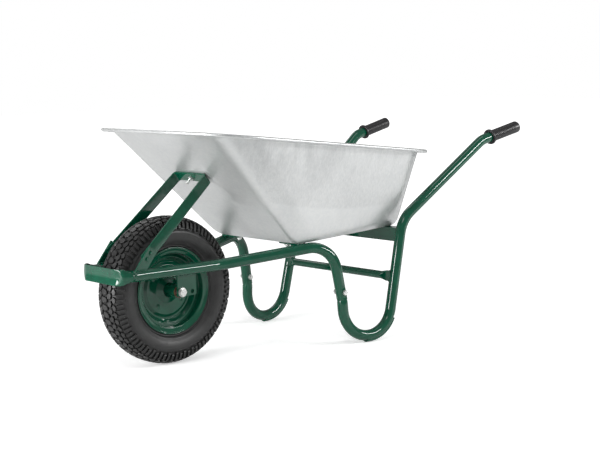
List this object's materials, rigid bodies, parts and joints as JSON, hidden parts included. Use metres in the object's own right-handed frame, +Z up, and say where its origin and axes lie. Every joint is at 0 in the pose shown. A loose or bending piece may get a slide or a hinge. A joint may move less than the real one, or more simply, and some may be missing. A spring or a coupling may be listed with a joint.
{
  "type": "wheelbarrow",
  "caption": "Builder's wheelbarrow with a deep flared galvanised tray on a bent green tube frame, looped leg-and-handle tubes with black grips, a front brace and a pneumatic block-tread wheel.",
  "frame": {"origin": "on the ground, in the middle of the barrow's length and width, with the wheel and both feet standing on it", "axes": "+X runs from the wheel to the grips, Y is across with the left side (as seen by the person pushing) at -Y, +Z is up"},
  "size_m": [1.3318, 0.5918, 0.623],
  "materials": {
    "galvanised_sheet": "cold-rolled zinc-coated sheet, satin with faint vertical streaks",
    "green_paint": "glossy dark green enamel",
    "zinc_plate": "bright zinc plating",
    "grip_rubber": "matte black moulded rubber",
    "tyre_rubber": "matte dark grey tyre rubber",
    "tube_rubber": "smooth butyl rubber",
    "bush_plastic": "brown moulded nylon bush"
  },
  "bodies": {
    "frame": {"tray": "galvanised_sheet", "front_frame": "green_paint", "leg_handle_left": "green_paint", "leg_handle_right": "green_paint", "grip_left": "grip_rubber", "grip_right": "grip_rubber", "leg_brace": "green_paint", "rear_support": "green_paint", "front_strut": "green_paint", "strut_tab_left": "green_paint", "strut_tab_right": "green_paint", "axle_bracket_left": "green_paint", "axle_bracket_right": "green_paint", "tray_tab_left": "green_paint", "tray_tab_right": "green_paint", "foot_skid_left": "green_paint", "foot_skid_right": "green_paint", "axle_bolt": "zinc_plate", "axle_nut": "zinc_plate", "axle_washers": "zinc_plate", "axle_spacers": "zinc_plate", "leg_joint_bolts": "zinc_plate", "leg_joint_nuts": "zinc_plate", "strut_bolts": "green_paint", "strut_nuts": "zinc_plate", "strut_tray_bolt": "zinc_plate", "strut_tray_nut": "zinc_plate", "tray_bolts": "zinc_plate", "tray_nuts": "zinc_plate"},
    "wheel": {"rim_left": "green_paint", "rim_right": "green_paint", "hub_tube": "green_paint", "hub_bush_left": "bush_plastic", "hub_bush_right": "bush_plastic", "tyre": "tyre_rubber", "inner_tube": "tube_rubber", "valve_stem": "tube_rubber", "valve_cap": "tube_rubber"}
  },
  "joints": [
    {"name": "wheel_spin", "type": "hinge", "parent": "frame", "child": "wheel", "pos_m": [-0.45937, 0, 0.1965], "axis": [0, 1, 0], "continuous": true}
  ]
}
